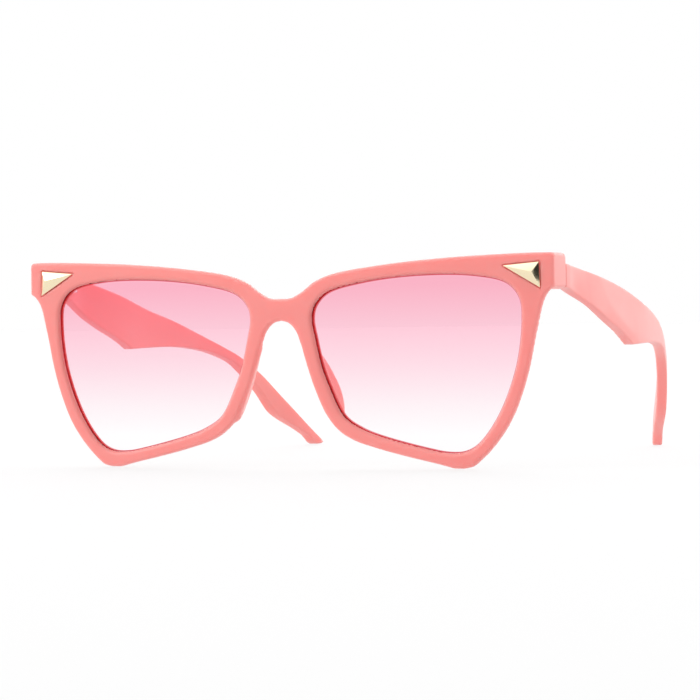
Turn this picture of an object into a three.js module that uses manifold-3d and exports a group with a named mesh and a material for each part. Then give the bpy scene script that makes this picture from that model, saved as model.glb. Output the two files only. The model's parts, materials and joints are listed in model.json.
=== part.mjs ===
// Cat eye sunglasses: a moulded plastic front with two tinted lenses, two pointed studs,
// and two wedge-shaped temples on five-barrel screw hinges.
// Millimetres. The front faces -Y, +X is the wearer's left, +Z is up.
import * as THREE from 'three';
import { mergeVertices } from 'three/addons/utils/BufferGeometryUtils.js';
import Module from 'manifold-3d';

const wasm = await Module();
wasm.setup();

// ---- Driving dimensions ----
const GAP = 0.3;               // clearance left between pieces that touch
const HALF_WIDTH = 73.5;       // centre line to the outside of an end piece
const OVERALL_LENGTH = 140.5;  // bridge to temple tips, open
const TOP_Z = 4.7;             // the highest line of the front
const GROUND_Z = -48.7;        // the level of the feet under the lower rims and temple tips
const FACE_CURVE = 0.0004;     // the front is wrapped to y = FACE_CURVE * x^2
const CURVE_STEPS = 2;         // divisions per control point of a smooth outline

const RIM_DEPTH = 3.4;         // front to back of a rim
const END_DEPTH = 9.4;         // front to back of an end piece, before its butt face is cut
const END_START = 0.8;         // where an end piece begins behind the rounded front edge
const END_BOTTOM_Z = -4.4;
const BUTT_Y = 11.0;           // flat rear face that the open temple closes against
const TEMPLE_START = BUTT_Y + GAP;
const TEMPLE_THICKNESS = 3.2;
const TEMPLE_TIP_THICKNESS = 2.9;
const TEMPLE_EDGE_RADIUS = 0.5;
const WEDGE_Y = 57;            // the temple's lower corner
const WEDGE_STEPS = 14;        // sections from the hinge to the wedge corner
const ARM_STEPS = 32;          // sections from the wedge corner to the tip

const LENS_FRONT = 1.3;        // behind the front face of the rim
const LENS_THICKNESS = 1.0;
const LENS_LIP = 0.8;          // how far the lens reaches into its groove

const PAD_THICKNESS = 2.2;     // moulded nose pads
const PAD_BEVEL = 0.7;
const PAD_FLARE = 0.28;        // outward lean per millimetre of depth
const PAD_TOP_X = 6.1;         // the nasal edge that the pads follow passes here
const PAD_TOP_Z = -14;
const PAD_SLOPE = 0.36;        // sideways travel of that edge per millimetre down

const STUD_HEIGHT = 1.3;
const STUD_PIN_X = 67;
const STUD_PIN_RADIUS = 0.6;
const STUD_PIN_LENGTH = 1.5;
const STUD_POCKET = 0.5;

// Hinge: a vertical axis behind the end piece, five barrels stacked along it.
const AXIS_X = 68.4;
const AXIS_Y = 10.9;
const HINGE_Z = -0.9;          // middle of the stack
const BARREL_RADIUS = 1.5;
const BARREL_HEIGHT = 0.7;
const BARREL_PITCH = BARREL_HEIGHT + GAP;
const BARREL_COUNT = 5;        // odd ones on the front leaf, even ones on the temple leaf
const LEAF_THICKNESS = 1.0;
const PIVOT_RADIUS = 0.5;
const SCREW_RADIUS = 0.4;
const SCREW_HEAD_RADIUS = 0.75;
const SCREW_SEAT_RADIUS = 0.9;
const SCREW_HEAD_HEIGHT = 0.55;
const ROUND_SEGMENTS = 20;

// ---- Looks ----
const LOOKS = {
  frame: { color: 0xf7a09b, roughness: 0.42, metalness: 0.0 },
  lens: { color: 0xf9c9da, roughness: 0.05, metalness: 0.0, transparent: true, opacity: 0.55 },
  gold: { color: 0xe9c47c, roughness: 0.2, metalness: 1.0 },
  hinge: { color: 0xb9b9bd, roughness: 0.3, metalness: 1.0 },
};

const group = new THREE.Group();

// ---- Outlines: [x, z] for the front, [y, z] for a temple or nose pad ----
const FRONT_TOP = [[0, -5.8], [3, -5.6], [6, -4.1], [9.5, -1.6], [14.5, 0.3], [26.5, 2.2],
  [42, 3.65], [57, 4.4], [72.3, TOP_Z]];
const FRONT_SIDE = [[HALF_WIDTH, -3.7], [72.4, -5], [70.7, -7.1], [69.7, -10.3], [68.3, -16.3],
  [66.8, -23.3], [64.6, -30.4], [61.6, -37.2], [57.6, -42.8], [53.4, -47], [51.6, -48.2],
  [49.4, GROUND_Z]];
const FRONT_BOTTOM = [[46.9, GROUND_Z], [43, -47.7], [34.5, -45.8], [26.5, -43.8], [20.2, -41.8],
  [16.3, -39.6], [13.3, -36.4], [9.4, -28.3], [7.4, -22.6], [5.5, -17], [4.2, -13.9],
  [2.2, -11.9], [0, -11.3]];
const LENS_OPENING = [[8.6, -11], [9.3, -7.8], [12.5, -4.5], [22, -1.9], [37, -0.3], [52.5, -0.6],
  [61, -2.6], [64.3, -6.3], [64.9, -11.7], [63.3, -23.5], [58.4, -35.8], [53, -42.6],
  [49.4, -44.4], [45, -44.6], [40.2, -43.8], [27, -40.4], [21.8, -38.4], [17.5, -35.3],
  [13.1, -27.4], [11.3, -23.1], [9.5, -16]];
const STUD_OUTLINE = [[60.4, 1.6], [69.8, 2.4], [70, -4]];
const STUD_APEX = [68.3, -0.1];
const PAD_OUTLINE = [[1.8, -17], [3.8, -17.2], [5.8, -19.6], [7.3, -24], [7.8, -28.5],
  [7.3, -32.5], [5.8, -35.6], [3.8, -37], [1.8, -36.4]];

// Layers of the rim from front to back: [y, inset of the outline, widening of the openings].
const RIM_SECTION = [[0, 0.6, 0.8], [0.2, 0.2, 0.25], [0.7, 0, 0], [1.5, 0, 0], [2.4, 0.5, 0],
  [3, 1.15, 0.2], [RIM_DEPTH, 2, 0.6]];

const TEMPLE_TOP = [[TEMPLE_START, 2], [23, 0.7], [36, -1.4], [50, -4], [66.5, -8.1], [80, -11.4],
  [91.6, -15.2], [102.7, -19.4], [108.6, -22], [117, -27.3], [124, -33.7], [131, -40.1],
  [137, -45], [OVERALL_LENGTH, -47.4]];
const TEMPLE_WEDGE = [[TEMPLE_START, -3.9], [16, -4.7], [26.5, -8.1], [33, -10.5], [40, -12.9],
  [49.5, -15.9], [WEDGE_Y, -18.9]];
const TEMPLE_ARM = [[WEDGE_Y, -18.9], [66, -18.7], [77.5, -18.6], [86, -19], [95, -20.2],
  [100.7, -21.7], [106, -23.7], [110, -26.4], [117.3, -32.9], [119.8, -36.1], [122, -38.8],
  [125.2, -41], [130.6, -43.9], [134.5, -46.3], [137, GROUND_Z], [139.6, GROUND_Z],
  [OVERALL_LENGTH, GROUND_Z + 0.3]];
// Sideways place of a temple's middle along its length.
const TEMPLE_BOW = [[TEMPLE_START, 71.9], [22, 71.9], [36, 72.7], [51, 73.2], [66.5, 73.2], [80, 71.9],
  [91.6, 69.9], [102.7, 67], [117, 62.6], [131, 56.6], [OVERALL_LENGTH, 52.9]];
// How far a temple's lower edge stands outside its upper edge.
const TEMPLE_LEAN = [[TEMPLE_START, 0], [14, 0], [18, 0], [27, 1.4], [40, 1.2], [WEDGE_Y, 0.5], [75, 0],
  [OVERALL_LENGTH, 0]];

// ---- Solids ----
function toSolid(geometry) {
  const bare = geometry.clone();
  bare.deleteAttribute('normal');
  bare.deleteAttribute('uv');
  const merged = mergeVertices(bare, 1e-5);
  const triangles = [];
  for (let i = 0; i < merged.index.count; i += 3) {
    const [a, b, c] = merged.index.array.slice(i, i + 3);
    if (a !== b && b !== c && c !== a) triangles.push(a, b, c);
  }
  return new wasm.Manifold(new wasm.Mesh({
    numProp: 3,
    vertProperties: new Float32Array(merged.attributes.position.array),
    triVerts: new Uint32Array(triangles),
  }));
}

function toGeometry(solid) {
  const mesh = solid.getMesh();
  const geometry = new THREE.BufferGeometry();
  geometry.setAttribute('position', new THREE.BufferAttribute(mesh.vertProperties, 3));
  geometry.setIndex(new THREE.BufferAttribute(mesh.triVerts, 1));
  return geometry;
}

function moveVertices(geometry, move) {
  const position = geometry.attributes.position;
  const point = new THREE.Vector3();
  for (let i = 0; i < position.count; i += 1) {
    point.fromBufferAttribute(position, i);
    move(point);
    position.setXYZ(i, point.x, point.y, point.z);
  }
  return geometry;
}

function wrapToFace(geometry) {
  return moveVertices(geometry, (p) => { p.y += FACE_CURVE * p.x * p.x; });
}

function mirrored(geometry) {
  const copy = (geometry.index ? geometry.toNonIndexed() : geometry.clone()).scale(-1, 1, 1);
  const position = copy.attributes.position;
  const a = new THREE.Vector3();
  const b = new THREE.Vector3();
  for (let i = 0; i < position.count; i += 3) {
    a.fromBufferAttribute(position, i + 1);
    b.fromBufferAttribute(position, i + 2);
    position.setXYZ(i + 1, b.x, b.y, b.z);
    position.setXYZ(i + 2, a.x, a.y, a.z);
  }
  return copy;
}

function box(low, high) {
  const size = high.map((value, i) => value - low[i]);
  const middle = high.map((value, i) => (value + low[i]) / 2);
  return new THREE.BoxGeometry(...size).translate(...middle);
}

// A cylinder whose axis runs along 'x', 'y' or 'z', from one end coordinate to the other.
function rod(axis, radius, at, from, to) {
  const geometry = new THREE.CylinderGeometry(radius, radius, to - from, ROUND_SEGMENTS);
  if (axis === 'x') geometry.rotateZ(Math.PI / 2);
  if (axis === 'z') geometry.rotateX(Math.PI / 2);
  const middle = new THREE.Vector3(...at);
  middle[axis] = (from + to) / 2;
  return geometry.translate(middle.x, middle.y, middle.z);
}

// ---- Outline helpers ----
const vectors = (points) => points.map(([u, v]) => new THREE.Vector2(u, v));

function smoothLoop(points) {
  const curve = new THREE.CatmullRomCurve3(
    points.map(([u, v]) => new THREE.Vector3(u, v, 0)), true, 'centripetal');
  return curve.getPoints(points.length * CURVE_STEPS * 1.5).slice(0, -1)
    .map((p) => new THREE.Vector2(p.x, p.y));
}

function offsetLoop(loop, distance) {
  const turn = THREE.ShapeUtils.isClockWise(loop) ? -1 : 1;
  return loop.map((point, i) => {
    const before = loop[(i + loop.length - 1) % loop.length];
    const after = loop[(i + 1) % loop.length];
    const along = after.clone().sub(before).normalize();
    return new THREE.Vector2(
      point.x + turn * distance * along.y, point.y - turn * distance * along.x);
  });
}

function frontLoop() {
  const half = new THREE.Path();
  half.moveTo(...FRONT_TOP[0]);
  half.splineThru(vectors(FRONT_TOP.slice(1)));
  half.quadraticCurveTo(HALF_WIDTH, TOP_Z, HALF_WIDTH, TOP_Z - 1.2);
  half.lineTo(...FRONT_SIDE[0]);
  half.splineThru(vectors(FRONT_SIDE.slice(1)));
  half.lineTo(...FRONT_BOTTOM[0]);
  half.splineThru(vectors(FRONT_BOTTOM.slice(1)));
  const right = half.getPoints(CURVE_STEPS);
  const left = right.slice(1, -1).reverse().map((p) => new THREE.Vector2(-p.x, p.y));
  return right.concat(left);
}

// A plate in the XZ plane from y = near to y = far, with rounded edges where bevel > 0.
function plate(loop, holes, near, far, bevel = 0) {
  const shape = new THREE.Shape(THREE.ShapeUtils.isClockWise(loop) ? loop.toReversed() : loop);
  shape.holes = holes.map((hole) => new THREE.Path(hole));
  const geometry = new THREE.ExtrudeGeometry(shape, {
    depth: far - near - 2 * bevel,
    bevelEnabled: bevel > 0,
    bevelThickness: bevel,
    bevelSize: bevel,
    bevelOffset: -bevel,
    bevelSegments: 2,
  });
  return geometry.rotateX(Math.PI / 2).translate(0, far - bevel, 0);
}

// A plate whose outline and openings change from layer to layer, as [y, inset, widening] rows.
function layeredPlate(loop, holes, layers) {
  const key = (x, z) => `${Math.fround(x)},${Math.fround(z)}`;
  const moves = new Map();
  const inset = offsetLoop(loop, -1);
  loop.forEach((p, i) => moves.set(key(p.x, p.y), { column: 1, step: inset[i].clone().sub(p) }));
  for (const hole of holes) {
    const wide = offsetLoop(hole, 1);
    hole.forEach((p, i) => moves.set(key(p.x, p.y), { column: 2, step: wide[i].clone().sub(p) }));
  }
  const shape = new THREE.Shape(THREE.ShapeUtils.isClockWise(loop) ? loop.toReversed() : loop);
  shape.holes = holes.map((hole) => new THREE.Path(hole));
  const last = layers.length - 1;
  const geometry = new THREE.ExtrudeGeometry(shape, { depth: last, steps: last, bevelEnabled: false });
  return moveVertices(geometry, (p) => {
    const { column, step } = moves.get(key(p.x, p.y));
    const layer = layers[last - Math.round(p.z)];
    p.set(p.x + step.x * layer[column], layer[0], p.y + step.y * layer[column]);
  });
}

// A function that gives v for u along a smooth line of [u, v] points.
function along(points) {
  const samples = new THREE.SplineCurve(vectors(points)).getPoints(points.length * 8);
  return (u) => {
    const next = samples.findIndex((p) => p.x >= u);
    const i = next < 1 ? (next < 0 ? samples.length - 1 : 1) : next;
    return THREE.MathUtils.mapLinear(u, samples[i - 1].x, samples[i].x, samples[i - 1].y, samples[i].y);
  };
}

// A slab in the YZ plane, centred on x = 0.
function slab(loop, thickness, bevel) {
  const geometry = new THREE.ExtrudeGeometry(new THREE.Shape(loop), {
    depth: thickness - 2 * bevel,
    bevelThickness: bevel,
    bevelSize: bevel,
    bevelOffset: -bevel,
    bevelSegments: 2,
  }).translate(0, 0, bevel - thickness / 2);
  return moveVertices(geometry, (p) => p.set(p.z, p.x, p.y));
}

// ---- Front ----
const lensLoop = smoothLoop(LENS_OPENING);
const mirrorLoop = (loop) => loop.map((p) => new THREE.Vector2(-p.x, p.y)).reverse();

function nosePad() {
  const nasalEdge = (z) => PAD_TOP_X - PAD_SLOPE * (z - PAD_TOP_Z);
  const pad = slab(smoothLoop(PAD_OUTLINE), PAD_THICKNESS, PAD_BEVEL);
  return moveVertices(pad, (p) => { p.x += nasalEdge(p.z) + PAD_FLARE * (p.y - RIM_DEPTH); });
}

function studPocket() {
  const pocket = plate(offsetLoop(vectors(STUD_OUTLINE), GAP), [], -1, STUD_POCKET);
  const pin = rod('y', STUD_PIN_RADIUS + GAP, [STUD_PIN_X, 0, 0],
    0, STUD_POCKET + STUD_PIN_LENGTH + GAP);
  return toSolid(pocket).add(toSolid(pin));
}

function frontFrame() {
  const loop = frontLoop();
  const holes = [lensLoop, mirrorLoop(lensLoop)];
  const grooveLoop = offsetLoop(lensLoop, LENS_LIP + GAP);
  const groove = plate(grooveLoop, [], LENS_FRONT - GAP, LENS_FRONT + LENS_THICKNESS + GAP);
  const endBar = toSolid(plate(loop, [], END_START, END_DEPTH));
  const endKeep = toSolid(box([AXIS_X + BARREL_RADIUS + GAP, -5, END_BOTTOM_Z], [80, 20, 8]));
  const sideParts = [endBar.intersect(endKeep), toSolid(nosePad())].map(toGeometry);
  let solid = toSolid(layeredPlate(loop, holes, RIM_SECTION));
  for (const part of sideParts) {
    solid = solid.add(toSolid(part)).add(toSolid(mirrored(part)));
  }
  for (const cut of [groove, toGeometry(studPocket())]) {
    solid = solid.subtract(toSolid(cut)).subtract(toSolid(mirrored(cut)));
  }
  solid = toSolid(wrapToFace(toGeometry(solid)));
  for (const cut of hingeSeatCuts()) {
    solid = solid.subtract(toSolid(cut)).subtract(toSolid(mirrored(cut)));
  }
  return toGeometry(solid);
}

// ---- Hinge ----
const LEAF_BOTTOM = HINGE_Z - 2.2;
const FRONT_LEAF_TOP = HINGE_Z + 2.2;
const TEMPLE_LEAF_TOP = HINGE_Z + 1.4;  // lower, as the temple slopes down behind the hinge
const FRONT_LEAF_Y = 5.2;            // front face of the front leaf
const FRONT_LEAF_X = [63.4, 69.6];
const FRONT_SCREWS = [-1.1, 1.1].map((dz) => ({ x: 65, z: HINGE_Z + dz }));
const TEMPLE_LEAF_X = HALF_WIDTH - TEMPLE_THICKNESS - GAP - LEAF_THICKNESS;
const TEMPLE_LEAF_Y = [AXIS_Y + 2, AXIS_Y + 8.7];
const TEMPLE_SCREWS = [14.6, 17.8].map((y) => ({ y, z: HINGE_Z - 0.4 }));
const FRONT_SCREW_DEPTH = 2.2;       // how far a screw goes into the front
const TEMPLE_SCREW_DEPTH = 1.9;

function hingeSeatCuts() {
  const seat = box(
    [FRONT_LEAF_X[0] - GAP, FRONT_LEAF_Y - GAP, LEAF_BOTTOM - GAP],
    [AXIS_X + BARREL_RADIUS + GAP, 20, FRONT_LEAF_TOP + GAP]);
  const butt = box([60, BUTT_Y, -10], [80, 20, 10]);
  const holes = FRONT_SCREWS.map(({ x, z }) => rod('y', SCREW_RADIUS + GAP, [x, 0, z],
    FRONT_LEAF_Y - FRONT_SCREW_DEPTH - GAP, FRONT_LEAF_Y + 1));
  return [seat, butt, ...holes];
}

const barrelZ = (index) => HINGE_Z + (index - (BARREL_COUNT - 1) / 2) * BARREL_PITCH;

// The barrels of one leaf, each with an arm back to the leaf's plate.
function barrels(first, arm) {
  let solid = null;
  for (let index = first; index < BARREL_COUNT; index += 2) {
    const low = barrelZ(index) - BARREL_HEIGHT / 2;
    const high = barrelZ(index) + BARREL_HEIGHT / 2;
    const ring = toSolid(rod('z', BARREL_RADIUS, [AXIS_X, AXIS_Y, 0], low, high));
    const bar = toSolid(box([arm.x[0], arm.y[0], low], [arm.x[1], arm.y[1], high]));
    solid = solid ? solid.add(ring).add(bar) : ring.add(bar);
  }
  return solid;
}

function pivotHole() {
  return toSolid(rod('z', PIVOT_RADIUS + GAP, [AXIS_X, AXIS_Y, 0], HINGE_Z - 5, HINGE_Z + 5));
}

function frontLeaf() {
  const far = FRONT_LEAF_Y + LEAF_THICKNESS;
  let solid = toSolid(box([FRONT_LEAF_X[0], FRONT_LEAF_Y, LEAF_BOTTOM], [FRONT_LEAF_X[1], far, FRONT_LEAF_TOP]));
  solid = solid.add(barrels(0, { x: [AXIS_X - 1.1, AXIS_X + 1.1], y: [far - 0.5, AXIS_Y] }));
  for (const { x, z } of FRONT_SCREWS) {
    solid = solid.subtract(toSolid(rod('y', SCREW_RADIUS + GAP, [x, 0, z], 0, 10)));
    solid = solid.subtract(toSolid(rod('y', SCREW_SEAT_RADIUS, [x, 0, z], far - SCREW_HEAD_HEIGHT, 10)));
  }
  return toGeometry(solid.subtract(pivotHole()));
}

function templeLeaf() {
  const near = TEMPLE_LEAF_X;
  const far = TEMPLE_LEAF_X + LEAF_THICKNESS;
  let solid = toSolid(box([near, TEMPLE_LEAF_Y[0], LEAF_BOTTOM], [far, TEMPLE_LEAF_Y[1], TEMPLE_LEAF_TOP]));
  solid = solid.add(barrels(1, { x: [near, far], y: [AXIS_Y, TEMPLE_LEAF_Y[0] + 0.5] }));
  for (const { y, z } of TEMPLE_SCREWS) {
    solid = solid.subtract(toSolid(rod('x', SCREW_RADIUS + GAP, [0, y, z], 60, 80)));
    solid = solid.subtract(toSolid(rod('x', SCREW_SEAT_RADIUS, [0, y, z], 60, near + SCREW_HEAD_HEIGHT)));
  }
  return toGeometry(solid.subtract(pivotHole()));
}

// A slotted screw along +Z: the top of its head is at z = 0 and its shank hangs down.
function screw(radius, headRadius, headHeight, length) {
  const profile = [[0, -headHeight - length], [radius * 0.6, -headHeight - length],
    [radius, -headHeight - length + 0.4], [radius, -headHeight], [headRadius, -headHeight],
    [headRadius, -0.12], [headRadius - 0.15, 0], [0, 0]];
  const body = new THREE.LatheGeometry(vectors(profile), ROUND_SEGMENTS).rotateX(Math.PI / 2);
  const slot = box([-headRadius, -0.14, -0.25], [headRadius, 0.14, 1]);
  return toGeometry(toSolid(body).subtract(toSolid(slot)));
}

function frontLeafScrew({ x, z }) {
  return screw(SCREW_RADIUS, SCREW_HEAD_RADIUS, SCREW_HEAD_HEIGHT - GAP, FRONT_SCREW_DEPTH + 0.7)
    .rotateX(-Math.PI / 2).translate(x, FRONT_LEAF_Y + LEAF_THICKNESS, z);
}

function templeLeafScrew({ y, z }) {
  return screw(SCREW_RADIUS, SCREW_HEAD_RADIUS, SCREW_HEAD_HEIGHT - GAP, TEMPLE_SCREW_DEPTH + 0.7)
    .rotateY(-Math.PI / 2).translate(TEMPLE_LEAF_X, y, z);
}

function pivotScrew() {
  const top = barrelZ(BARREL_COUNT - 1) + BARREL_HEIGHT / 2 + GAP;
  const bottom = barrelZ(0) - BARREL_HEIGHT / 2 - GAP;
  const headHeight = 0.6;
  return screw(PIVOT_RADIUS, 1.1, headHeight, top - bottom)
    .translate(AXIS_X, AXIS_Y, top + headHeight);
}

// ---- Temple ----
const SECTION_HEIGHT = 8;      // of the plain section that is stretched to each height

function templeSection() {
  const [w, h, r] = [TEMPLE_THICKNESS / 2, SECTION_HEIGHT / 2, TEMPLE_EDGE_RADIUS];
  const section = new THREE.Shape();
  section.absarc(w - r, h - r, r, 0, Math.PI / 2);
  section.absarc(r - w, h - r, r, Math.PI / 2, Math.PI);
  section.absarc(r - w, r - h, r, Math.PI, Math.PI * 1.5);
  section.absarc(w - r, r - h, r, Math.PI * 1.5, Math.PI * 2);
  return section;
}

function temple() {
  const steps = WEDGE_STEPS + ARM_STEPS;
    const stationY = (i) => (i <= WEDGE_STEPS
    ? THREE.MathUtils.lerp(TEMPLE_START, WEDGE_Y, i / WEDGE_STEPS)
    : THREE.MathUtils.lerp(WEDGE_Y, OVERALL_LENGTH, (i - WEDGE_STEPS) / ARM_STEPS));
  const [topAt, wedgeAt, armAt, bowAt, leanAt] = [
    TEMPLE_TOP, TEMPLE_WEDGE, TEMPLE_ARM, TEMPLE_BOW, TEMPLE_LEAN].map(along);
  const thinning = 1 - TEMPLE_TIP_THICKNESS / TEMPLE_THICKNESS;
  const flatHalf = SECTION_HEIGHT / 2 - TEMPLE_EDGE_RADIUS;
  const bar = new THREE.ExtrudeGeometry(templeSection(), {
    depth: steps, steps, bevelEnabled: false, curveSegments: 2,
  });
  const body = moveVertices(bar, (p) => {
    const y = stationY(Math.round(p.z));
    const top = topAt(y);
    const bottom = Math.max(GROUND_Z, y <= WEDGE_Y ? wedgeAt(y) : armAt(y));
    const half = (top - bottom) / 2;
    const edge = Math.min(TEMPLE_EDGE_RADIUS, half * 0.8);
    const beyond = Math.max(0, Math.abs(p.y) - flatHalf) / TEMPLE_EDGE_RADIUS;
    const inside = Math.min(1, Math.abs(p.y) / flatHalf) * (half - edge);
    const rise = Math.sign(p.y) * (inside + beyond * edge);
    const blunt = Math.sqrt(Math.min(1, (OVERALL_LENGTH + 0.3 - y) / 2.5));
    const width = (1 - thinning * THREE.MathUtils.smoothstep(y, 60, OVERALL_LENGTH)) * blunt;
    const lean = leanAt(y) * (half - rise) / (2 * half);
    p.set(bowAt(y) + lean - p.x * width, y, (top + bottom) / 2 + rise);
  });
  let solid = toSolid(body);
  const inner = HALF_WIDTH - TEMPLE_THICKNESS;
  for (const { y, z } of TEMPLE_SCREWS) {
    const hole = rod('x', SCREW_RADIUS + GAP, [0, y, z], inner - 1, inner + TEMPLE_SCREW_DEPTH + GAP);
    solid = solid.subtract(toSolid(hole));
  }
  return toGeometry(solid);
}

// ---- Lens and stud ----
function lens() {
  const loop = offsetLoop(lensLoop, LENS_LIP);
  return wrapToFace(plate(loop, [], LENS_FRONT, LENS_FRONT + LENS_THICKNESS));
}

// The faceted gold point: a three-sided pyramid on a thin foot, with one pin behind it.
function stud() {
  const rise = -0.2;
  const [inner, outer, bottom] = STUD_OUTLINE.map(([x, z]) => [x, rise, z]);
  const apex = [STUD_APEX[0], -STUD_HEIGHT, STUD_APEX[1]];
  const faces = [outer, inner, apex, bottom, outer, apex, inner, bottom, apex, inner, outer, bottom];
  const pyramid = new THREE.BufferGeometry();
  pyramid.setAttribute('position', new THREE.Float32BufferAttribute(faces.flat(), 3));
  const foot = plate(vectors(STUD_OUTLINE), [], rise, STUD_POCKET - GAP);
  const pin = rod('y', STUD_PIN_RADIUS, [STUD_PIN_X, 0, 0], rise, STUD_POCKET + STUD_PIN_LENGTH);
  return wrapToFace(toGeometry([foot, pin].map(toSolid).reduce((a, b) => a.add(b), toSolid(pyramid))));
}

// ---- Assembly ----
function place(name, geometry, look) {
  const mesh = new THREE.Mesh(
    geometry, new THREE.MeshStandardMaterial({ ...LOOKS[look], flatShading: true }));
  mesh.name = name;
  group.add(mesh);
}

function placePair(name, geometry, look) {
  place(`${name}_left`, geometry, look);
  place(`${name}_right`, mirrored(geometry), look);
}

place('front_frame', frontFrame(), 'frame');
placePair('lens', lens(), 'lens');
placePair('stud', stud(), 'gold');
placePair('temple', temple(), 'frame');
placePair('hinge_front_leaf', frontLeaf(), 'hinge');
placePair('hinge_temple_leaf', templeLeaf(), 'hinge');
placePair('hinge_pivot_screw', pivotScrew(), 'hinge');
FRONT_SCREWS.forEach((spot, i) => {
  placePair(`front_leaf_screw_${i + 1}`, frontLeafScrew(spot), 'hinge');
});
TEMPLE_SCREWS.forEach((spot, i) => {
  placePair(`temple_leaf_screw_${i + 1}`, templeLeafScrew(spot), 'hinge');
});

// Origin: on the ground, under the middle of the open glasses.
group.position.set(0, -OVERALL_LENGTH / 2, -GROUND_Z);

export default group;
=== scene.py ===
"""Cat eye sunglasses: the looks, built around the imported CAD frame. Blender 4.5, metres."""
import json
import math

import bmesh
import bpy
import numpy as np
from mathutils import Matrix, Vector
from mathutils.geometry import delaunay_2d_cdt

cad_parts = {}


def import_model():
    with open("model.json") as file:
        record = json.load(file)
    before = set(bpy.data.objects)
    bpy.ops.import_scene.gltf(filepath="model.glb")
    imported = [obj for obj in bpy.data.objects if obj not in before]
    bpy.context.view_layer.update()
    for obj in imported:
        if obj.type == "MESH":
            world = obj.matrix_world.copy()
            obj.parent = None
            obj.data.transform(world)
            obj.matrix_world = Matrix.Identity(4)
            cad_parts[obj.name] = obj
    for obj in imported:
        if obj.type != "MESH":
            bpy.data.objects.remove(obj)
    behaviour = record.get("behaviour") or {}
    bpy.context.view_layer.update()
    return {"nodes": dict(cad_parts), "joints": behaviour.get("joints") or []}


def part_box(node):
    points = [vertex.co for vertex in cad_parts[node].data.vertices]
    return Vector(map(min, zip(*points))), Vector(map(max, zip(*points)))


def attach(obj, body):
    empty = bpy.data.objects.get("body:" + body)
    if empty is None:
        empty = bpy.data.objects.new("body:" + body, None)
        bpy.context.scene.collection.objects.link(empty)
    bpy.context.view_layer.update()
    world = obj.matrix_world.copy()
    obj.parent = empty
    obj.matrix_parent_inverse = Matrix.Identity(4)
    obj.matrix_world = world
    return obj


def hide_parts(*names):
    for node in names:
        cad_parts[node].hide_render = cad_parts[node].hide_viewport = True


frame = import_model()

# ---- Places, from the frame ----
MM = 0.001
FRONT_LOW, FRONT_HIGH = (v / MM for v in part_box("front_frame"))
TOP_Z = 4.7                                # the outline's top, above the design height 0
ORIGIN = Vector((0, FRONT_LOW.y, FRONT_HIGH.z - TOP_Z))   # design origin in the row frame, mm
GROUND_Z = -ORIGIN.z
HALF_WIDTH = FRONT_HIGH.x
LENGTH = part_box("temple_left")[1].y / MM - ORIGIN.y
AXIS = Vector(frame["joints"][0]["pos_m"]) / MM - ORIGIN   # left hinge axis, design frame

# ---- Design values, millimetres in the design frame ----
FACE_CURVE = 0.0004                        # the front is wrapped to y = FACE_CURVE * x^2
RIM_DEPTH = 3.4
FRONT_ROUND, BACK_ROUND, OPENING_ROUND = 0.75, 2.6, 1.0
BARREL_ROOM = 1.8                          # from the hinge axis out to the end piece's wall
END_X, END_BOTTOM_Z, BUTT_Y = AXIS.x + BARREL_ROOM, -4.4, AXIS.y + 0.1
END_FRONT, END_ROUND, END_BLEND = 1, 0.5, 0.5
SEAT = ((AXIS.x - 5.3, 4.9, -3.4), (AXIS.x + BARREL_ROOM, 20.0, 1.6))   # cut for the hinge
LENS_FRONT, LENS_THICKNESS, LENS_LIP, GAP = 1.3, 1.0, 0.35, 0.3
GROOVE_SLACK = 0.22                        # on each face of the lens
LENS_SPACING, LENS_EDGE = 2.5, 0.25        # the lens mesh: its grid, and its rounded edge
PAINTED_SHADE_WIDTH, PAINTED_SHADE_BLUR = 0.25, 0.08          # painted shade: the dark line of shade where the lens meets the rim, its width and its blur
PAINTED_RIM_SHADE = "painted_rim_shade"                      # the mesh attribute that marks the painted shade
PAD_THICKNESS, PAD_ROUND, PAD_FLARE, PAD_BLEND = 2.2, 1.05, 0.28, 1.6
STUD_HEIGHT, STUD_POCKET, STUD_SHOULDER, STUD_EDGE = 1.3, 0.5, 0.12, 0.08
TEMPLE_THICKNESS, TEMPLE_TIP_THICKNESS, TEMPLE_ROUND = 3.2, 2.9, 0.5
WEDGE_Y, THINNING_Y = 57.0, 60             # where the wedge ends, and the thinning begins
TIP_LENGTH = 1.5                           # the last stretch, with closer stations
ROOT_EASE, TIP_EASE, END_TUCK = (0.5, 0.86), (2.2, 0.18), 0.5   # how both ends are rounded

FRONT_TOP = [(0, -5.8), (3, -5.6), (6, -4.1), (9.5, -1.6), (14.5, 0.3), (26.5, 2.2), (42, 3.65),
             (57, 4.4), (71.5, TOP_Z)]
FRONT_CORNER = [(72.8, TOP_Z - 0.15), (73.35, TOP_Z - 0.65), (HALF_WIDTH, TOP_Z - 1.5)]
FRONT_SIDE = [(HALF_WIDTH, -3.6), (72.1, -4.6), (70.9, -6.2), (70.1, -8.2), (69.5, -10.6),
              (68.2, -16.3), (66.7, -23.3), (64.5, -30.4), (61.5, -37.2), (57.5, -42.8),
              (53.3, -47), (51.6, -48.2), (49.4, GROUND_Z)]
FRONT_BOTTOM = [(46.9, GROUND_Z), (43, -47.7), (34.5, -45.8), (26.5, -43.8), (20.2, -41.8),
                (16.3, -39.6), (13.3, -36.4), (9.4, -28.3), (7.4, -22.6), (5.5, -17),
                (4.2, -13.9), (2.2, -11.9), (0, -11.3)]
LENS_OPENING = [(8.6, -11), (9.3, -7.8), (12.5, -4.5), (22, -1.9), (37, -0.3), (52.5, -0.6),
                (61, -2.6), (64.3, -6.3), (64.9, -11.7), (63.3, -23.5), (58.4, -35.8),
                (53, -42.8), (49.4, -44.6), (45, -44.8), (40.2, -44), (27, -40.7),
                (21.7, -38.7), (17.1, -35.6), (12.9, -27.5), (11.2, -23.1), (9.5, -16)]
STUD_OUTLINE = [(60.4, 1.6), (69.8, 2.4), (70, -4)]
STUD_APEX = (68.3, -0.1)
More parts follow.
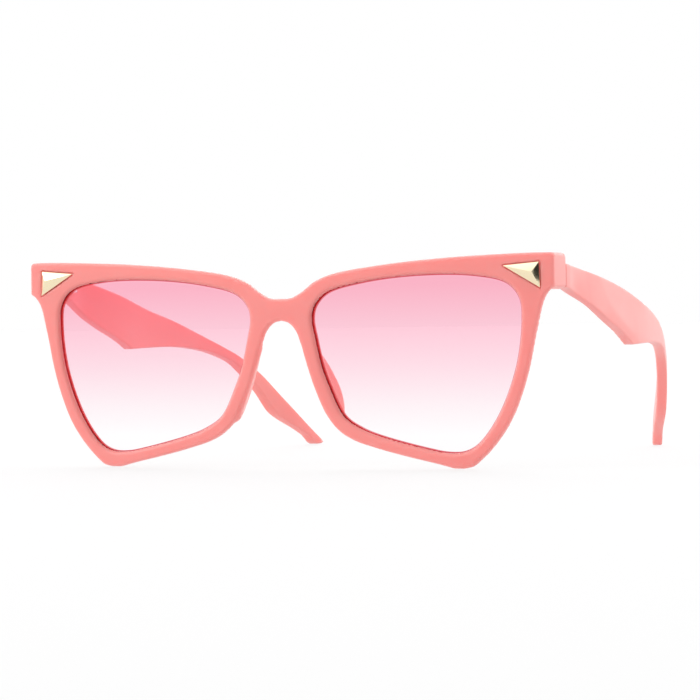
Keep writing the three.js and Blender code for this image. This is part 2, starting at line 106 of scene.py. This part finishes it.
STUD_CHART = ((58, -6), (72, 4.5))         # the corners of a box well clear of the stud
PAD_TOP_X, PAD_TOP_Z, PAD_SLOPE = 6.1, -14, 0.36   # the nasal edge that the pads follow
PAD_OUTLINE = [(1.8, -18), (3.6, -18.2), (5.4, -20.4), (7, -24.2), (7.8, -28.5), (7.3, -32.5),
               (5.8, -35.6), (3.8, -37), (1.8, -36.4)]
PAD_CHART = ((-2, -40), (12, -13))
TEMPLE_START = BUTT_Y + GAP
TEMPLE_TOP = [(TEMPLE_START, 2), (23, 0.7), (36, -1.4), (50, -4), (66.5, -8.1), (80, -11.4),
              (91.6, -15.2), (102.7, -19.4), (108.6, -22), (117, -27.3), (124, -33.7),
              (131, -40.2), (137, -45.5), (LENGTH, -48.1)]
TEMPLE_WEDGE = [(TEMPLE_START, -3.9), (16, -4.7), (26.5, -8.1), (33, -10.5), (40, -12.9),
                (49.5, -15.9), (WEDGE_Y, -18.9)]
TEMPLE_ARM = [(WEDGE_Y, -18.9), (66, -18.7), (77.5, -18.6), (86, -19), (95, -20.2),
              (100.7, -21.7), (106, -23.7), (110, -26.4), (117.3, -32.9), (119.8, -36.1),
              (122, -38.8), (125.2, -41), (130.6, -43.9), (134.5, -46.3), (137, GROUND_Z),
              (139.6, GROUND_Z), (LENGTH, GROUND_Z + 0.3)]
TEMPLE_BOW = [(TEMPLE_START, 71.9), (22, 71.9), (36, 72.7), (51, 73.2), (66.5, 73.2), (80, 71.9),
              (91.6, 69.9), (102.7, 67), (117, 62.6), (131, 56.6), (LENGTH, 52.9)]
TEMPLE_LEAN = [(TEMPLE_START, 0), (14, 0), (18, 0), (27, 1.4), (40, 1.2), (WEDGE_Y, 0.5), (75, 0),
               (LENGTH, 0)]
CREASE = [(34, -1.8), (37.7, -6.9), (42.5, -10.2), (51.5, -14.2), (60, -17.5)]
CREASE_FALL = 0.12                         # how fast the face falls away in front of the crease
CREASE_SHARE, CREASE_REACH = 0.55, 9.0     # the fall grows over this much of the way, up to here
CREASE_START, CREASE_FADE = 14, 12         # it fades in from this station over this length

OUTLINE_STEPS = 8                          # curve points between two points of an outline

VOXEL = 0.36
SIDES = ("left", "right")


# ---- Smooth lines ----
def spline(points, per_span=12, closed=False):
    """A centripetal Catmull-Rom curve through the points."""
    p = np.array(points, float)
    if closed:
        p = np.vstack([p[-1], p, p[:2]])
    else:
        p = np.vstack([2 * p[0] - p[1], p, 2 * p[-1] - p[-2]])
    curve = []
    for a, b, c, d in zip(p, p[1:], p[2:], p[3:]):
        ta, tb = 0, max(np.linalg.norm(b - a), 1e-6) ** 0.5
        tc = tb + max(np.linalg.norm(c - b), 1e-6) ** 0.5
        td = tc + max(np.linalg.norm(d - c), 1e-6) ** 0.5
        t = np.linspace(tb, tc, per_span, endpoint=False)[:, None]
        ab = ((tb - t) * a + (t - ta) * b) / (tb - ta)
        bc = ((tc - t) * b + (t - tb) * c) / (tc - tb)
        cd = ((td - t) * c + (t - tc) * d) / (td - tc)
        abc = ((tc - t) * ab + (t - ta) * bc) / (tc - ta)
        bcd = ((td - t) * bc + (t - tb) * cd) / (td - tb)
        curve.append(((tc - t) * abc + (t - tb) * bcd) / (tc - tb))
    curve = np.vstack(curve)
    return curve if closed else np.vstack([curve, points[-1]])


def along(points):
    """A function that gives v for u along a smooth line of (u, v) points."""
    line = spline(points, 16)
    return lambda u: np.interp(u, line[:, 0], line[:, 1])


def front_loop():
    """The front's outline, all the way round."""
    top = spline(FRONT_TOP + FRONT_CORNER, OUTLINE_STEPS)
    side = spline(FRONT_SIDE, OUTLINE_STEPS)
    bottom = spline(FRONT_BOTTOM, OUTLINE_STEPS)
    right = np.vstack([top, side, bottom])
    left = right[::-1] * (-1, 1)
    return np.vstack([right, left[1:-1]])


def loop_distance(loop, x, z):
    """Distance from each point to a closed loop, negative inside."""
    nearest = np.full(x.shape, 1e9)
    inside = np.zeros(x.shape, bool)
    for (ax, az), (bx, bz) in zip(loop, np.roll(loop, -1, 0)):
        ex, ez = bx - ax, bz - az
        length = ex * ex + ez * ez
        if length < 1e-12:
            continue
        t = np.clip(((x - ax) * ex + (z - az) * ez) / length, 0, 1)
        nearest = np.minimum(nearest, (x - ax - t * ex) ** 2 + (z - az - t * ez) ** 2)
        crosses = (az > z) != (bz > z)
        if ez:
            inside ^= crosses & (x < ax + (z - az) * ex / ez)
    return np.where(inside, -1, 1) * np.sqrt(nearest)


class Chart:
    """The distance to a loop, worked out once on a fine grid and read back between its points."""

    def __init__(self, loop, low, high, step=0.15):
        self.low, self.step = np.array(low, float), step
        counts = [int((b - a) / step) + 3 for a, b in zip(low, high)]
        u, v = (a + step * np.arange(n) for a, n in zip(low, counts))
        grid = np.meshgrid(u, v, indexing="ij")
        self.values = loop_distance(np.array(loop, float), *grid)

    def __call__(self, u, v):
        rows, columns = self.values.shape
        s = np.clip((u - self.low[0]) / self.step, 0, rows - 1.001)
        t = np.clip((v - self.low[1]) / self.step, 0, columns - 1.001)
        i, j = s.astype(int), t.astype(int)
        s, t = s - i, t - j
        g = self.values
        near = g[i, j] * (1 - t) + g[i, j + 1] * t
        return near * (1 - s) + (g[i + 1, j] * (1 - t) + g[i + 1, j + 1] * t) * s


# ---- Solids as distance fields ----
def rounded(across, along_depth, radius):
    """Where a wall meets a face, with an edge of that radius. Distances are negative inside."""
    a, b = across + radius, along_depth + radius
    outside = np.hypot(np.maximum(a, 0), np.maximum(b, 0))
    return outside + np.minimum(np.maximum(a, b), 0) - radius


def plate_field(across, y, front, back, front_round, back_round):
    """A plate between two depths, with its own edge radius at the front and at the back."""
    middle = (front + back) / 2
    ahead = rounded(across, front - y, front_round)
    behind = rounded(across, y - back, back_round)
    return np.where(y < middle, ahead, behind)


def merge(a, b, blend):
    """The union of two fields with a fillet about that wide."""
    h = np.clip(0.5 + 0.5 * (b - a) / blend, 0, 1)
    return b + (a - b) * h - blend * h * (1 - h)


def box_field(x, y, z, low, high):
    return np.max(np.broadcast_arrays(
        low[0] - x, x - high[0], low[1] - y, y - high[1], low[2] - z, z - high[2]), axis=0)


def front_field():
    """The moulded front: rims, bridge, end pieces and pads, with its grooves and seats cut."""
    margin = 2
    low, high = (-margin, GROUND_Z - margin), (HALF_WIDTH + margin, TOP_Z + margin)
    outline = Chart(front_loop(), low, high)
    opening = Chart(spline(LENS_OPENING, OUTLINE_STEPS, closed=True), low, high)
    stud = Chart(STUD_OUTLINE, *STUD_CHART)
    pad = Chart(spline(PAD_OUTLINE, 6, closed=True), *PAD_CHART)
    lens_middle = LENS_FRONT + LENS_THICKNESS / 2

    def field(x, y, z):
        x = np.abs(x)
        flat_y = y - FACE_CURVE * x * x
        edge, hole = outline(x, z), opening(x, z)
        solid = plate_field(edge, flat_y, 0, RIM_DEPTH, FRONT_ROUND, BACK_ROUND)
        solid = np.maximum(
            solid, plate_field(-hole, flat_y, 0, RIM_DEPTH, OPENING_ROUND, OPENING_ROUND))
        end_wall = rounded(np.maximum(END_X - x, END_BOTTOM_Z - z), edge, END_ROUND)
        end = rounded(end_wall, np.maximum(y - BUTT_Y, END_FRONT - flat_y), END_ROUND / 2)
        solid = merge(solid, end, END_BLEND)
        nasal = PAD_TOP_X - PAD_SLOPE * (z - PAD_TOP_Z) + PAD_FLARE * (flat_y - RIM_DEPTH)
        cushion = rounded(pad(flat_y, z), np.abs(x - nasal) - PAD_THICKNESS / 2, PAD_ROUND)
        solid = merge(solid, cushion, PAD_BLEND)
        groove = np.maximum(
            hole - LENS_LIP - GAP,
            np.abs(flat_y - lens_middle) - LENS_THICKNESS / 2 - GROOVE_SLACK)
        solid = np.maximum(solid, -groove)
        solid = np.maximum(solid, -np.maximum(stud(x, z) - GAP, flat_y - STUD_POCKET))
        return np.maximum(solid, -box_field(x, y, z, *SEAT))

    return field


def net_surface(field, low, high, step):
    """A closed quad mesh of the field's zero surface, with its vertices moved onto it."""
    axes = [np.arange(a - 1.5 * step, b + 2.5 * step, step) for a, b in zip(low, high)]
    grid = np.meshgrid(*axes, indexing="ij", sparse=True)
    values = field(*grid)
    inside = values < 0
    corners = [(i, j, k) for i in (0, 1) for j in (0, 1) for k in (0, 1)]
    cells = tuple(n - 1 for n in values.shape)
    count = sum(
        inside[i:i + cells[0], j:j + cells[1], k:k + cells[2]].astype(np.int8)
        for i, j, k in corners)
    at = np.stack(np.nonzero((count > 0) & (count < 8)), 1)
    index = np.full(cells, -1)
    index[tuple(at.T)] = np.arange(len(at))
    place, total = np.zeros((len(at), 3)), np.zeros(len(at))
    for a in corners:
        for axis in range(3):
            if a[axis]:
                continue
            b = tuple(c + (n == axis) for n, c in enumerate(a))
            va, vb = (values[tuple((at + c).T)] for c in (a, b))
            hit = (va < 0) != (vb < 0)
            t = np.where(hit, va / np.where(hit, va - vb, 1), 0)
            place += np.where(hit[:, None], np.array(a) + t[:, None] * np.eye(3)[axis], 0)
            total += hit
    points = (at + place / total[:, None]) * step + [a[0] for a in axes]
    faces = []
    for axis in range(3):
        u, v = [n for n in range(3) if n != axis]
        layers = np.moveaxis(inside, axis, 0)
        first, second = layers[:-1], layers[1:]
        hit = np.stack(np.nonzero(first != second), 1)
        edge = np.zeros_like(hit)
        edge[:, axis], edge[:, u], edge[:, v] = hit.T
        ring = []
        for du, dv in ((0, 0), (1, 0), (1, 1), (0, 1)):
            cell = edge.copy()
            cell[:, u] -= du
            cell[:, v] -= dv
            ring.append(index[tuple(cell.T)])
        quads = np.stack(ring, 1)
        turned = first[tuple(hit.T)] ^ (axis == 1)
        quads[~turned] = quads[~turned][:, ::-1]
        faces.append(quads)
    return settle(points, field, step), np.vstack(faces)


def settle(points, field, step, rounds=4):
    """Moves points along the field's slope until they lie on its zero surface."""
    reach = 0.02
    for _ in range(rounds):
        value = field(*points.T)
        slope = np.stack([
            (field(*(points + reach * e).T) - field(*(points - reach * e).T)) / (2 * reach)
            for e in np.eye(3)], 1)
        length = np.maximum((slope ** 2).sum(1), 0.25)
        move = -slope * (value / length)[:, None]
        size = np.linalg.norm(move, axis=1, keepdims=True)
        points = points + move * np.minimum(1, 0.5 * step / np.maximum(size, 1e-9))
    return points


# ---- Mesh pieces ----
def piece(name, points, faces, material, body, node, smooth_angle=40):
    """A mesh object from points in the design frame, which rides on a body and replaces a node."""
    mesh = bpy.data.meshes.new(name)
    placed = (np.asarray(points, float) + ORIGIN) * MM
    mesh.from_pydata(placed.tolist(), [], [list(map(int, f)) for f in faces])
    mesh.update()
    mesh.shade_smooth()
    mesh.set_sharp_from_angle(angle=math.radians(smooth_angle))
    obj = bpy.data.objects.new(name, mesh)
    bpy.context.scene.collection.objects.link(obj)
    mesh.materials.append(material)
    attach(obj, body)
    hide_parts(node)
    return obj


def mirrored(points, faces, side):
    """The same shape on either side: the left one as built, the right one mirrored in X."""
    points = np.array(points, float)
    if side == "left":
        return points, faces
    return points * (-1, 1, 1), [list(f)[::-1] for f in faces]


def wrapped(points):
    """Points of the flat front, moved back onto its curve."""
    points = np.array(points, float)
    points[:, 1] += FACE_CURVE * points[:, 0] ** 2
    return points


def offset_loop(loop, distance):
    """A counter-clockwise loop moved outwards."""
    ahead = np.roll(loop, -1, 0) - np.roll(loop, 1, 0)
    ahead /= np.linalg.norm(ahead, axis=1, keepdims=True)
    return loop + distance * ahead[:, ::-1] * (1, -1)


def lens_rim():
    """The lens opening's outline, counter-clockwise."""
    loop = spline(LENS_OPENING, OUTLINE_STEPS, closed=True)
    x, z = loop.T
    area = (x * np.roll(z, -1) - np.roll(x, -1) * z).sum()
    return loop if area > 0 else loop[::-1]


def lens_mesh():
    """A thin sheet with small rounded edges, triangulated finely enough to follow its curve."""
    rim = lens_rim()
    outer = offset_loop(rim, LENS_LIP)
    inner = offset_loop(rim, LENS_LIP - LENS_EDGE)
    low, high = inner.min(0), inner.max(0)
    grid = np.stack(np.meshgrid(
        np.arange(low[0], high[0], LENS_SPACING), np.arange(low[1], high[1], LENS_SPACING)), -1)
    grid = grid.reshape(-1, 2)
    grid = grid[loop_distance(rim, grid[:, 0], grid[:, 1]) < -LENS_SPACING * 0.6]
    n = len(inner)
    ring = [(i, (i + 1) % n) for i in range(n)]
    # loops along the line of painted shade at the lens's edge, so that the mesh has vertices to
    # carry it
    lines = [offset_loop(rim, -PAINTED_SHADE_WIDTH), offset_loop(rim, -PAINTED_SHADE_WIDTH - PAINTED_SHADE_BLUR)]
    edges = [(i + k * n, j + k * n) for k in range(3) for i, j in ring]
    flat, _, triangles, *_ = delaunay_2d_cdt(
        [Vector(p) for p in np.vstack([inner, *lines, grid])], edges, [], 1, 1e-6)
    flat = np.array(flat)
    front, back = LENS_FRONT, LENS_FRONT + LENS_THICKNESS
    count = len(flat)
    points = [(x, front, z) for x, z in flat] + [(x, back, z) for x, z in flat]
    points += [(x, front + LENS_EDGE, z) for x, z in outer]
    points += [(x, back - LENS_EDGE, z) for x, z in outer]
    faces = [t if winding(flat[t]) > 0 else t[::-1] for t in map(list, triangles)]
    faces = faces + [[count + i for i in t[::-1]] for t in faces]
    front_ring, back_ring = 2 * count, 2 * count + n
    for i, j in ring:
        faces += [
            [j, i, front_ring + i, front_ring + j],
            [front_ring + j, front_ring + i, back_ring + i, back_ring + j],
            [back_ring + j, back_ring + i, count + i, count + j]]
    return wrapped(points), faces


def mark_painted_shade(mesh):
    """Marks the lens vertices for the painted shade: 1 in the dark line of painted shade and out
    to the edge, 0 further in.
    """
    place = np.array([v.co for v in mesh.vertices]) / MM - ORIGIN
    depth = -loop_distance(lens_rim(), abs(place[:, 0]), place[:, 2])
    marks = mesh.attributes.new(PAINTED_RIM_SHADE, "FLOAT", "POINT")
    marks.data.foreach_set("value", np.clip((PAINTED_SHADE_WIDTH + PAINTED_SHADE_BLUR - depth) / PAINTED_SHADE_BLUR, 0, 1))


def winding(triangle):
    """Positive for a counter-clockwise triangle."""
    (ax, az), (bx, bz), (cx, cz) = triangle
    return (bx - ax) * (cz - az) - (cx - ax) * (bz - az)


def stud_mesh():
    """A three-sided pyramid on a thin foot, with its edges rounded."""
    foot = STUD_POCKET - GAP
    outline = [Vector((x, 0, z)) for x, z in STUD_OUTLINE]
    mesh = bmesh.new()
    base = [mesh.verts.new((p.x, foot, p.z)) for p in outline]
    shoulder = [mesh.verts.new((p.x, -STUD_SHOULDER, p.z)) for p in outline]
    apex = mesh.verts.new((STUD_APEX[0], -STUD_HEIGHT, STUD_APEX[1]))
    mesh.faces.new(base)
    for i in range(3):
        j = (i + 1) % 3
        mesh.faces.new((base[i], base[j], shoulder[j], shoulder[i]))
        mesh.faces.new((shoulder[i], shoulder[j], apex))
    bmesh.ops.recalc_face_normals(mesh, faces=mesh.faces)
    bmesh.ops.bevel(
        mesh, geom=mesh.edges, offset=STUD_EDGE, segments=3, profile=0.5, affect="EDGES")
    points = [tuple(v.co) for v in mesh.verts]
    faces = [[v.index for v in f.verts] for f in mesh.faces]
    mesh.free()
    return wrapped(points), faces


def temple_mesh():
    """A rounded bar swept from the hinge to the tip through its stations."""
    stations = np.concatenate([
        np.linspace(TEMPLE_START, TEMPLE_START + 1, 5)[:-1],
        np.linspace(TEMPLE_START + 1, WEDGE_Y, 56)[:-1],
        np.linspace(WEDGE_Y, LENGTH - TIP_LENGTH, 90)[:-1],
        LENGTH - TIP_LENGTH * np.linspace(1, 0, 9) ** 1.5])
    top_at, wedge_at, arm_at, bow_at, lean_at = map(
        along, (TEMPLE_TOP, TEMPLE_WEDGE, TEMPLE_ARM, TEMPLE_BOW, TEMPLE_LEAN))
    crease = spline(CREASE, 6)
    corner, flat = 6, 14
    points, faces = [], []
    for y in stations:
        top = top_at(y)
        bottom = max(GROUND_Z, wedge_at(y) if y <= WEDGE_Y else arm_at(y))
        share = np.clip((y - THINNING_Y) / (LENGTH - THINNING_Y), 0, 1)
        thickness = TEMPLE_THICKNESS + (TEMPLE_TIP_THICKNESS - TEMPLE_THICKNESS) * share
        from_root = (y - TEMPLE_START) / ROOT_EASE[0] + ROOT_EASE[1]
        from_tip = (LENGTH - y) / TIP_EASE[0] + TIP_EASE[1]
        ease = min(1, from_root, from_tip) ** 0.5      # 1 away from the two rounded ends
        half_w, half_h = thickness / 2 * ease, (top - bottom) / 2
        half_h -= (1 - ease) * END_TUCK
        radius = min(TEMPLE_ROUND, half_w * 0.98, half_h * 0.9)
        ring = section_ring(half_w, half_h, radius, corner, flat)
        for u, v in ring:
            z = (top + bottom) / 2 + v
            lean = lean_at(y) * (half_h - v) / (2 * half_h)
            x = bow_at(y) + lean + u
            if u > 0:
                x -= CREASE_FALL * crease_depth(y, z, crease) * min(1, u / half_w)
            points.append((x, y, z))
    n = len(ring)
    for s in range(len(stations) - 1):
        for i in range(n):
            j = (i + 1) % n
            faces.append((s * n + i, s * n + j, (s + 1) * n + j, (s + 1) * n + i))
    faces.append(tuple(range(n))[::-1])
    faces.append(tuple(range((len(stations) - 1) * n, len(stations) * n)))
    return points, faces


def section_ring(half_w, half_h, radius, corner, flat):
    """A rounded rectangle, anticlockwise, with spare points along its tall sides."""
    ring = []
    for quarter, (sx, sz) in enumerate(((1, 1), (-1, 1), (-1, -1), (1, -1))):
        cx, cz = sx * (half_w - radius), sz * (half_h - radius)
        for a in np.linspace(0, math.pi / 2, corner) + quarter * math.pi / 2:
            ring.append((cx + radius * math.cos(a), cz + radius * math.sin(a)))
        if quarter in (1, 3):
            ring += [(sx * half_w, z) for z in np.linspace(cz, -cz, flat)[1:-1]]
    return ring


def crease_depth(y, z, line):
    """How far a point lies below and ahead of the crease on a temple's outer face."""
    limit = np.interp(-z, -line[:, 1], line[:, 0])
    ahead = (limit - y) * CREASE_SHARE
    faded_in = min(1, max(0, (y - CREASE_START) / CREASE_FADE))
    return max(0.0, min(ahead, CREASE_REACH)) * faded_in


# ---- Materials ----
def shader(name):
    """A new material with its nodes, its links and its Principled shader."""
    material = bpy.data.materials.new(name)
    material.use_nodes = True
    tree = material.node_tree
    return material, tree.nodes, tree.links, tree.nodes["Principled BSDF"]


def linear(r, g, b):
    """A display colour, 0 to 255, as the linear colour that a shader takes."""
    return tuple(
        v / 12.92 if v <= 0.04045 else ((v + 0.055) / 1.055) ** 2.4
        for v in (r / 255, g / 255, b / 255)) + (1,)


def noise(nodes, links, where, scale, detail=3):
    """A smooth random pattern from 0 to 1, with about that many spots to the metre."""
    texture = nodes.new("ShaderNodeTexNoise")
    texture.inputs["Scale"].default_value = scale
    texture.inputs["Detail"].default_value = detail
    links.new(where, texture.inputs["Vector"])
    return texture.outputs["Fac"]


def between(nodes, links, value, low, high):
    """A number from 0 to 1 stretched from low to high."""
    node = nodes.new("ShaderNodeMapRange")
    node.inputs["To Min"].default_value = low
    node.inputs["To Max"].default_value = high
    links.new(value, node.inputs["Value"])
    return node.outputs["Result"]


def frame_plastic():
    """Satin moulded plastic: a faint cloudiness, an uneven polish and a fine moulded skin."""
    material, nodes, links, bsdf = shader("coral_plastic")
    where = nodes.new("ShaderNodeTexCoord").outputs["Object"]
    tone = nodes.new("ShaderNodeMix")
    tone.data_type = "RGBA"
    tone.inputs["A"].default_value = linear(253, 147, 142)
    tone.inputs["B"].default_value = linear(255, 153, 148)
    links.new(noise(nodes, links, where, 90), tone.inputs["Factor"])
    links.new(tone.outputs["Result"], bsdf.inputs["Base Color"])
    polish = noise(nodes, links, where, 260, 4)
    links.new(between(nodes, links, polish, 0.34, 0.46), bsdf.inputs["Roughness"])
    bump = nodes.new("ShaderNodeBump")
    bump.inputs["Strength"].default_value = 0.25
    bump.inputs["Distance"].default_value = 0.00002
    links.new(noise(nodes, links, where, 1400, 2), bump.inputs["Height"])
    links.new(bump.outputs["Normal"], bsdf.inputs["Normal"])
    bsdf.inputs["IOR"].default_value = 1.49
    bsdf.inputs["Sheen Weight"].default_value = 0.3
    bsdf.inputs["Sheen Roughness"].default_value = 0.45
    bsdf.inputs["Sheen Tint"].default_value = (1, 0.85, 0.83, 1)
    bsdf.inputs["Subsurface Weight"].default_value = 0.9
    bsdf.inputs["Subsurface Radius"].default_value = (1, 0.85, 0.83)
    bsdf.inputs["Subsurface Scale"].default_value = 0.0015
    return material


# Heights in the design frame, each with the display colour of white seen through the lens there.
TINT_STOPS = [(-2.5, (253, 181, 200)), (-12.7, (254, 202, 217)), (-22.8, (254, 221, 231)),
              (-33, (254, 242, 246)), (-40.6, (255, 254, 255))]
# Painted shade: the shadow in the groove where the lens meets the rim, painted into the lens as a
# dark red tint.
PAINTED_SHADE_COLOUR = (220, 95, 105)


def surface_tint(colour):
    """The colour of one face of the lens, where light passes two."""
    return [v ** 0.5 for v in linear(*colour)]


def tint_ramp(nodes, links):
    """The lens's colour by height."""
    place = nodes.new("ShaderNodeSeparateXYZ")
    links.new(nodes.new("ShaderNodeTexCoord").outputs["Object"], place.inputs[0])
    height = nodes.new("ShaderNodeMapRange")
    top, clear = TINT_STOPS[0][0], TINT_STOPS[-1][0]
    height.inputs["From Min"].default_value = (ORIGIN.z + clear) * MM
    height.inputs["From Max"].default_value = (ORIGIN.z + top) * MM
    links.new(place.outputs["Z"], height.inputs["Value"])
    ramp = nodes.new("ShaderNodeValToRGB")
    stops = ramp.color_ramp.elements
    for z, _ in TINT_STOPS[1:-1]:
        stops.new((z - clear) / (top - clear))
    for stop, (_, colour) in zip(stops, TINT_STOPS[::-1]):
        stop.color = surface_tint(colour)
    links.new(height.outputs["Result"], ramp.inputs["Fac"])
    return ramp.outputs["Color"]


def lens_tint():
    """A clear sheet that passes light straight on, pink at the top and fading downwards, with a
    dark red line of painted shade along its edge.
    """
    material, nodes, links, bsdf = shader("gradient_lens")
    through = nodes.new("ShaderNodeBsdfTransparent")
    # the line of painted shade at the lens's edge, mixed over the tint
    line = nodes.new("ShaderNodeAttribute")
    line.attribute_name = PAINTED_RIM_SHADE
    tone = nodes.new("ShaderNodeMix")
    tone.data_type = "RGBA"
    tone.inputs["B"].default_value = surface_tint(PAINTED_SHADE_COLOUR)
    links.new(line.outputs["Fac"], tone.inputs["Factor"])
    links.new(tint_ramp(nodes, links), tone.inputs["A"])
    links.new(tone.outputs["Result"], through.inputs["Color"])
    shine = nodes.new("ShaderNodeBsdfGlossy")
    shine.inputs["Roughness"].default_value = 0.03
    fresnel = nodes.new("ShaderNodeFresnel")
    fresnel.inputs["IOR"].default_value = 1.35
    mix = nodes.new("ShaderNodeMixShader")
    links.new(fresnel.outputs["Fac"], mix.inputs["Fac"])
    links.new(through.outputs["BSDF"], mix.inputs[1])
    links.new(shine.outputs["BSDF"], mix.inputs[2])
    links.new(mix.outputs["Shader"], nodes["Material Output"].inputs["Surface"])
    nodes.remove(bsdf)
    return material


def metal(name, colour, low, high, scale):
    """Polished metal whose polish varies a little from place to place."""
    material, nodes, links, bsdf = shader(name)
    where = nodes.new("ShaderNodeTexCoord").outputs["Object"]
    bsdf.inputs["Base Color"].default_value = linear(*colour)
    bsdf.inputs["Metallic"].default_value = 1
    links.new(
        between(nodes, links, noise(nodes, links, where, scale), low, high),
        bsdf.inputs["Roughness"])
    return material


# ---- Stage ----
def stage_material(name, colour, glow):
    """A matt surface that also glows, so that the floor stays white."""
    material, nodes, links, bsdf = shader(name)
    bsdf.inputs["Base Color"].default_value = (*colour, 1)
    bsdf.inputs["Roughness"].default_value = 0.9
    bsdf.inputs["Emission Color"].default_value = (1, 1, 1, 1)
    bsdf.inputs["Emission Strength"].default_value = glow
    return material


def floor():
    mesh = bpy.data.meshes.new("floor")
    half, drop = 6, 0.0002
    mesh.from_pydata([(-half, -half, 0), (half, -half, 0), (half, half, 0), (-half, half, 0)],
                     [], [(0, 1, 2, 3)])
    obj = bpy.data.objects.new("floor", mesh)
    obj.location.z = -drop
    bpy.context.scene.collection.objects.link(obj)
    mesh.materials.append(stage_material("pale_floor", (0.08, 0.08, 0.08), 0.775))


def lobe(nodes, links, way, direction, core, edge):
    """1 within core degrees of a direction, falling smoothly to 0 at edge degrees."""
    dot = nodes.new("ShaderNodeVectorMath")
    dot.operation = "DOT_PRODUCT"
    dot.inputs[1].default_value = Vector(direction).normalized()
    links.new(way, dot.inputs[0])
    fall = nodes.new("ShaderNodeMapRange")
    fall.interpolation_type = "SMOOTHSTEP"
    fall.inputs["From Min"].default_value = math.cos(math.radians(edge))
    fall.inputs["From Max"].default_value = math.cos(math.radians(core))
    links.new(dot.outputs["Value"], fall.inputs["Value"])
    return fall.outputs["Result"]


def blended(nodes, links, start, factor, end):
    """start where factor is 0, the plain number end where it is 1."""
    node = nodes.new("ShaderNodeMix")
    node.inputs["B"].default_value = end
    if isinstance(start, (int, float)):
        node.inputs["A"].default_value = start
    else:
        links.new(start, node.inputs["A"])
    links.new(factor, node.inputs["Factor"])
    return node.outputs["Result"]


# Each soft region of the studio: its direction, its core and edge in degrees, its brightness.
STUDIO = [((0, -1, 0), 25, 100, 0.58), ((0.25, 1, 0.35), 20, 95, 1.9),
          ((-1, -0.9, 0.5), 8, 40, 1.3), ((-0.43, -0.32, 0.85), 12, 35, 1.5),
          ((0.94, -0.34, 0.02), 20, 28, 0.03)]


def world():
    """A white studio whose light differs by direction, and a plain white backdrop to look at."""
    w = bpy.data.worlds.new("studio")
    w.use_nodes = True
    nodes, links = w.node_tree.nodes, w.node_tree.links
    way = nodes.new("ShaderNodeTexCoord").outputs["Generated"]
    strength = 1.0
    for direction, core, edge, brightness in STUDIO:
        strength = blended(
            nodes, links, strength, lobe(nodes, links, way, direction, core, edge), brightness)
    seen = nodes.new("ShaderNodeLightPath").outputs["Is Camera Ray"]
    links.new(blended(nodes, links, strength, seen, 1.0), nodes["Background"].inputs["Strength"])
    nodes["Background"].inputs["Color"].default_value = (1, 1, 1, 1)
    bpy.context.scene.world = w


def softbox(name, place, target, size, power):
    """A rectangular lamp aimed at a point."""
    light = bpy.data.lights.new(name, "AREA")
    light.shape = "RECTANGLE"
    light.size, light.size_y = size
    light.energy = power
    obj = bpy.data.objects.new(name, light)
    obj.location = place
    obj.rotation_euler = (Vector(target) - Vector(place)).to_track_quat("-Z", "Y").to_euler()
    bpy.context.scene.collection.objects.link(obj)


CAMERA_PLACE = (0.35269, -0.81861, 0.03979)
CAMERA_TURN = (24.0, 0.70, -0.825)         # azimuth, elevation and roll, degrees
SENSOR_WIDTH, VIEW_WIDTH, FOCAL_LENGTH = 36, 700, 3255.8   # mm, then image widths in pixels


def camera():
    """A long lens, from the front and a little to one side."""
    azimuth, elevation, roll = (math.radians(v) for v in CAMERA_TURN)
    place = Vector(CAMERA_PLACE)
    ahead = -Vector((math.sin(azimuth) * math.cos(elevation),
                     -math.cos(azimuth) * math.cos(elevation), math.sin(elevation)))
    right = ahead.cross(Vector((0, 0, 1))).normalized()
    up = right.cross(ahead)
    turned_right = math.cos(roll) * right + math.sin(roll) * up
    turned_up = -math.sin(roll) * right + math.cos(roll) * up
    data = bpy.data.cameras.new("camera")
    data.sensor_width = SENSOR_WIDTH
    data.lens = SENSOR_WIDTH * FOCAL_LENGTH / VIEW_WIDTH
    data.clip_start = 0.01
    obj = bpy.data.objects.new("camera", data)
    obj.matrix_world = Matrix.Translation(place) @ Matrix(
        (turned_right, turned_up, -ahead)).transposed().to_4x4()
    bpy.context.scene.collection.objects.link(obj)
    bpy.context.scene.camera = obj


# ---- Assembly ----
plastic, tint = frame_plastic(), lens_tint()
gold = metal("polished_gold", (252, 236, 200), 0.06, 0.13, 700)
steel = metal("nickel_plate", (205, 203, 200), 0.18, 0.32, 900)

low = (-HALF_WIDTH, 0, GROUND_Z)
high = (HALF_WIDTH, BUTT_Y, TOP_Z)
front_points, front_faces = net_surface(front_field(), low, high, VOXEL)
front_points = np.clip(front_points, low, (HALF_WIDTH, np.inf, TOP_Z))
piece("front_moulding", front_points, front_faces, plastic, "front", "front_frame")
for side in SIDES:
    lens = piece(
        f"lens_sheet_{side}", *mirrored(*lens_mesh(), side), tint, "front", f"lens_{side}", 30)
    # the dark line of painted shade along the lens's edge
    mark_painted_shade(lens.data)
    piece(f"stud_point_{side}", *mirrored(*stud_mesh(), side), gold, "front", f"stud_{side}", 25)
    piece(f"temple_bar_{side}", *mirrored(*temple_mesh(), side), plastic,
          f"temple_arm_{side}", f"temple_{side}", 50)
for name, node in frame["nodes"].items():
    if name.startswith("hinge_") or "leaf_screw" in name:
        node.data.materials.clear()
        node.data.materials.append(steel)

floor()
world()
softbox("key", (-0.89, -0.765, 0.67), (-0.03, -0.06, 0.03), (0.66, 0.66), 3.9)
camera()
bpy.context.scene.view_settings.view_transform = "Standard"
